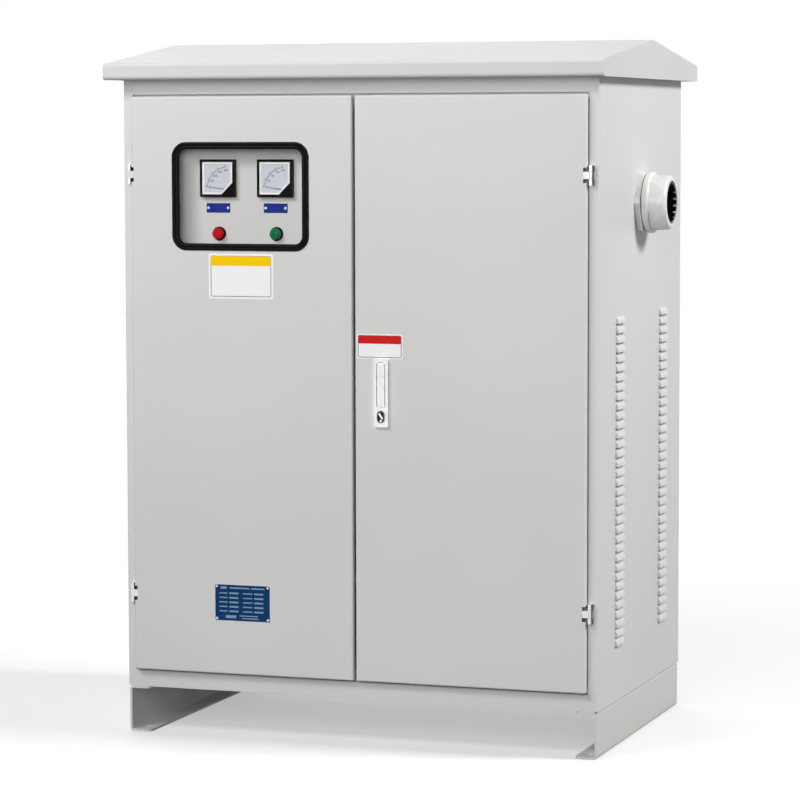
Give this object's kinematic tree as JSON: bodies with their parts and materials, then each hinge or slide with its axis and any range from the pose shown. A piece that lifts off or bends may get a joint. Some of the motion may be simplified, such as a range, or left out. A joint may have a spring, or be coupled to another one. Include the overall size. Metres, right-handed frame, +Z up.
{
  "type": "power transformer cabinet",
  "caption": "Outdoor sheet-metal power transformer cabinet with hinged doors, gabled canopy, louvred sides, meter window, cable gland and channel feet.",
  "frame": {"origin": "on the ground under the middle of the cabinet's body, in the middle of the ground bolts", "axes": "+Z up, -Y towards the front with the doors, +X towards the cable gland's side"},
  "size_m": [1.147, 0.79, 1.493],
  "materials": {
    "cabinet_paint": "semi-gloss light grey powder coat",
    "canopy_paint": "semi-gloss light grey powder coat",
    "floor_plate": "zinc-coated sheet",
    "hinge_chrome": "bright plated zinc",
    "black_rubber": "matt black rubber",
    "window_acrylic": "clear polished pane",
    "tray_paint": "semi-gloss white paint",
    "meter_black": "moulded black plastic",
    "red_lens": "red lens",
    "green_lens": "green lens",
    "handle_zinc": "satin cast zinc",
    "lock_steel": "plated steel",
    "grey_nylon": "pale grey nylon",
    "core_steel": "varnished stacked sheet",
    "coil_resin": "cast resin over copper",
    "press_board": "laminated board",
    "clamp_paint": "dark grey paint",
    "stud_brass": "bright brass"
  },
  "bodies": {
    "cabinet": {"left_side_panel": "cabinet_paint", "right_side_panel": "cabinet_paint", "rear_panel": "cabinet_paint", "left_front_post": "cabinet_paint", "right_front_post": "cabinet_paint", "header_rail": "cabinet_paint", "sill_rail": "cabinet_paint", "floor_panel": "floor_plate", "top_panel": "cabinet_paint", "left_foot": "cabinet_paint", "right_foot": "cabinet_paint", "roof_canopy": "canopy_paint", "left_gable": "canopy_paint", "right_gable": "canopy_paint", "left_post_hinges": "hinge_chrome", "right_post_hinges": "hinge_chrome", "gland_body": "grey_nylon", "gland_nut": "grey_nylon", "gland_seal": "black_rubber", "gland_locknut": "grey_nylon", "core": "core_steel", "left_coil": "coil_resin", "middle_coil": "coil_resin", "right_coil": "coil_resin", "coil_blocks": "press_board", "bottom_clamps": "clamp_paint", "top_clamps": "clamp_paint", "base_rails": "clamp_paint", "terminal_board": "press_board", "terminal_studs": "stud_brass"},
    "left_leaf": {"left_door": "cabinet_paint", "left_door_ribs": "cabinet_paint", "left_door_hinges": "hinge_chrome", "window_gasket": "black_rubber", "window_pane": "window_acrylic", "instrument_tray": "tray_paint", "left_meter": "meter_black", "right_meter": "meter_black", "red_lamp": "red_lens", "green_lamp": "green_lens"},
    "right_leaf": {"right_door": "cabinet_paint", "right_door_ribs": "cabinet_paint", "right_door_hinges": "hinge_chrome", "handle_plate": "handle_zinc", "lock_barrel": "lock_steel", "latch_tongue": "lock_steel"},
    "handle": {"handle_lever": "handle_zinc"}
  },
  "joints": [
    {"name": "left_door_hinge", "type": "hinge", "parent": "cabinet", "child": "left_leaf", "pos_m": [-0.5125, -0.349, 0.306], "axis": [0, 0, -1], "range_deg": [0, 110]},
    {"name": "right_door_hinge", "type": "hinge", "parent": "cabinet", "child": "right_leaf", "pos_m": [0.5125, -0.349, 0.306], "axis": [0, 0, 1], "range_deg": [0, 110]},
    {"name": "handle_lift", "type": "hinge", "parent": "right_leaf", "child": "handle", "pos_m": [0.063, -0.363, 0.815], "axis": [-1, 0, 0], "range_deg": [0, 35]}
  ]
}
